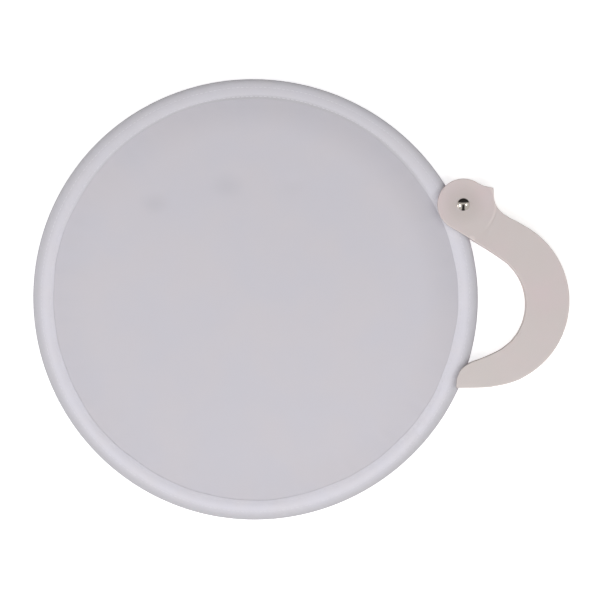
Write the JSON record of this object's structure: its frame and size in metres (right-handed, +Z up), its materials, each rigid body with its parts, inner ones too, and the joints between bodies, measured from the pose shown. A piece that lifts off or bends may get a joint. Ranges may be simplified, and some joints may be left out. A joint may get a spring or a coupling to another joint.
{
  "type": "collapsible reflector disc",
  "caption": "Round cloth disc on a spring-wire hoop with folded edge binding, and a C-shaped hollow plastic carry handle that swings on a domed rivet.",
  "frame": {"origin": "below the middle of the whole object, on the surface it lies on", "axes": "+X from the disc towards the handle, +Y across the disc, +Z up out of the disc's front face"},
  "size_m": [0.302, 0.25, 0.0133],
  "materials": {
    "panel_cloth": "fine plain-weave cloth, matt with a faint sheen",
    "binding_tape": "woven tape, matt",
    "hoop_steel": "drawn spring wire",
    "ferrule_brass": "plain",
    "tab_webbing": "woven webbing, matt",
    "eyelet_nickel": "nickel plated",
    "handle_plastic": "milky translucent, fine satin",
    "rivet_chrome": "polished"
  },
  "bodies": {
    "disc": {"panel_fabric": "panel_cloth", "rim_binding": "binding_tape", "spring_hoop": "hoop_steel", "hoop_ferrule": "ferrule_brass", "pivot_tab": "tab_webbing", "tab_eyelet": "eyelet_nickel"},
    "handle": {"handle_front_shell": "handle_plastic", "handle_back_shell": "handle_plastic", "rivet_cap": "rivet_chrome", "rivet_post": "rivet_chrome"}
  },
  "joints": [
    {"name": "handle_swing", "type": "hinge", "parent": "disc", "child": "handle", "pos_m": [0.09134, 0.05325, 0.006], "axis": [0, 0, 1], "range_deg": [0, 96]}
  ]
}
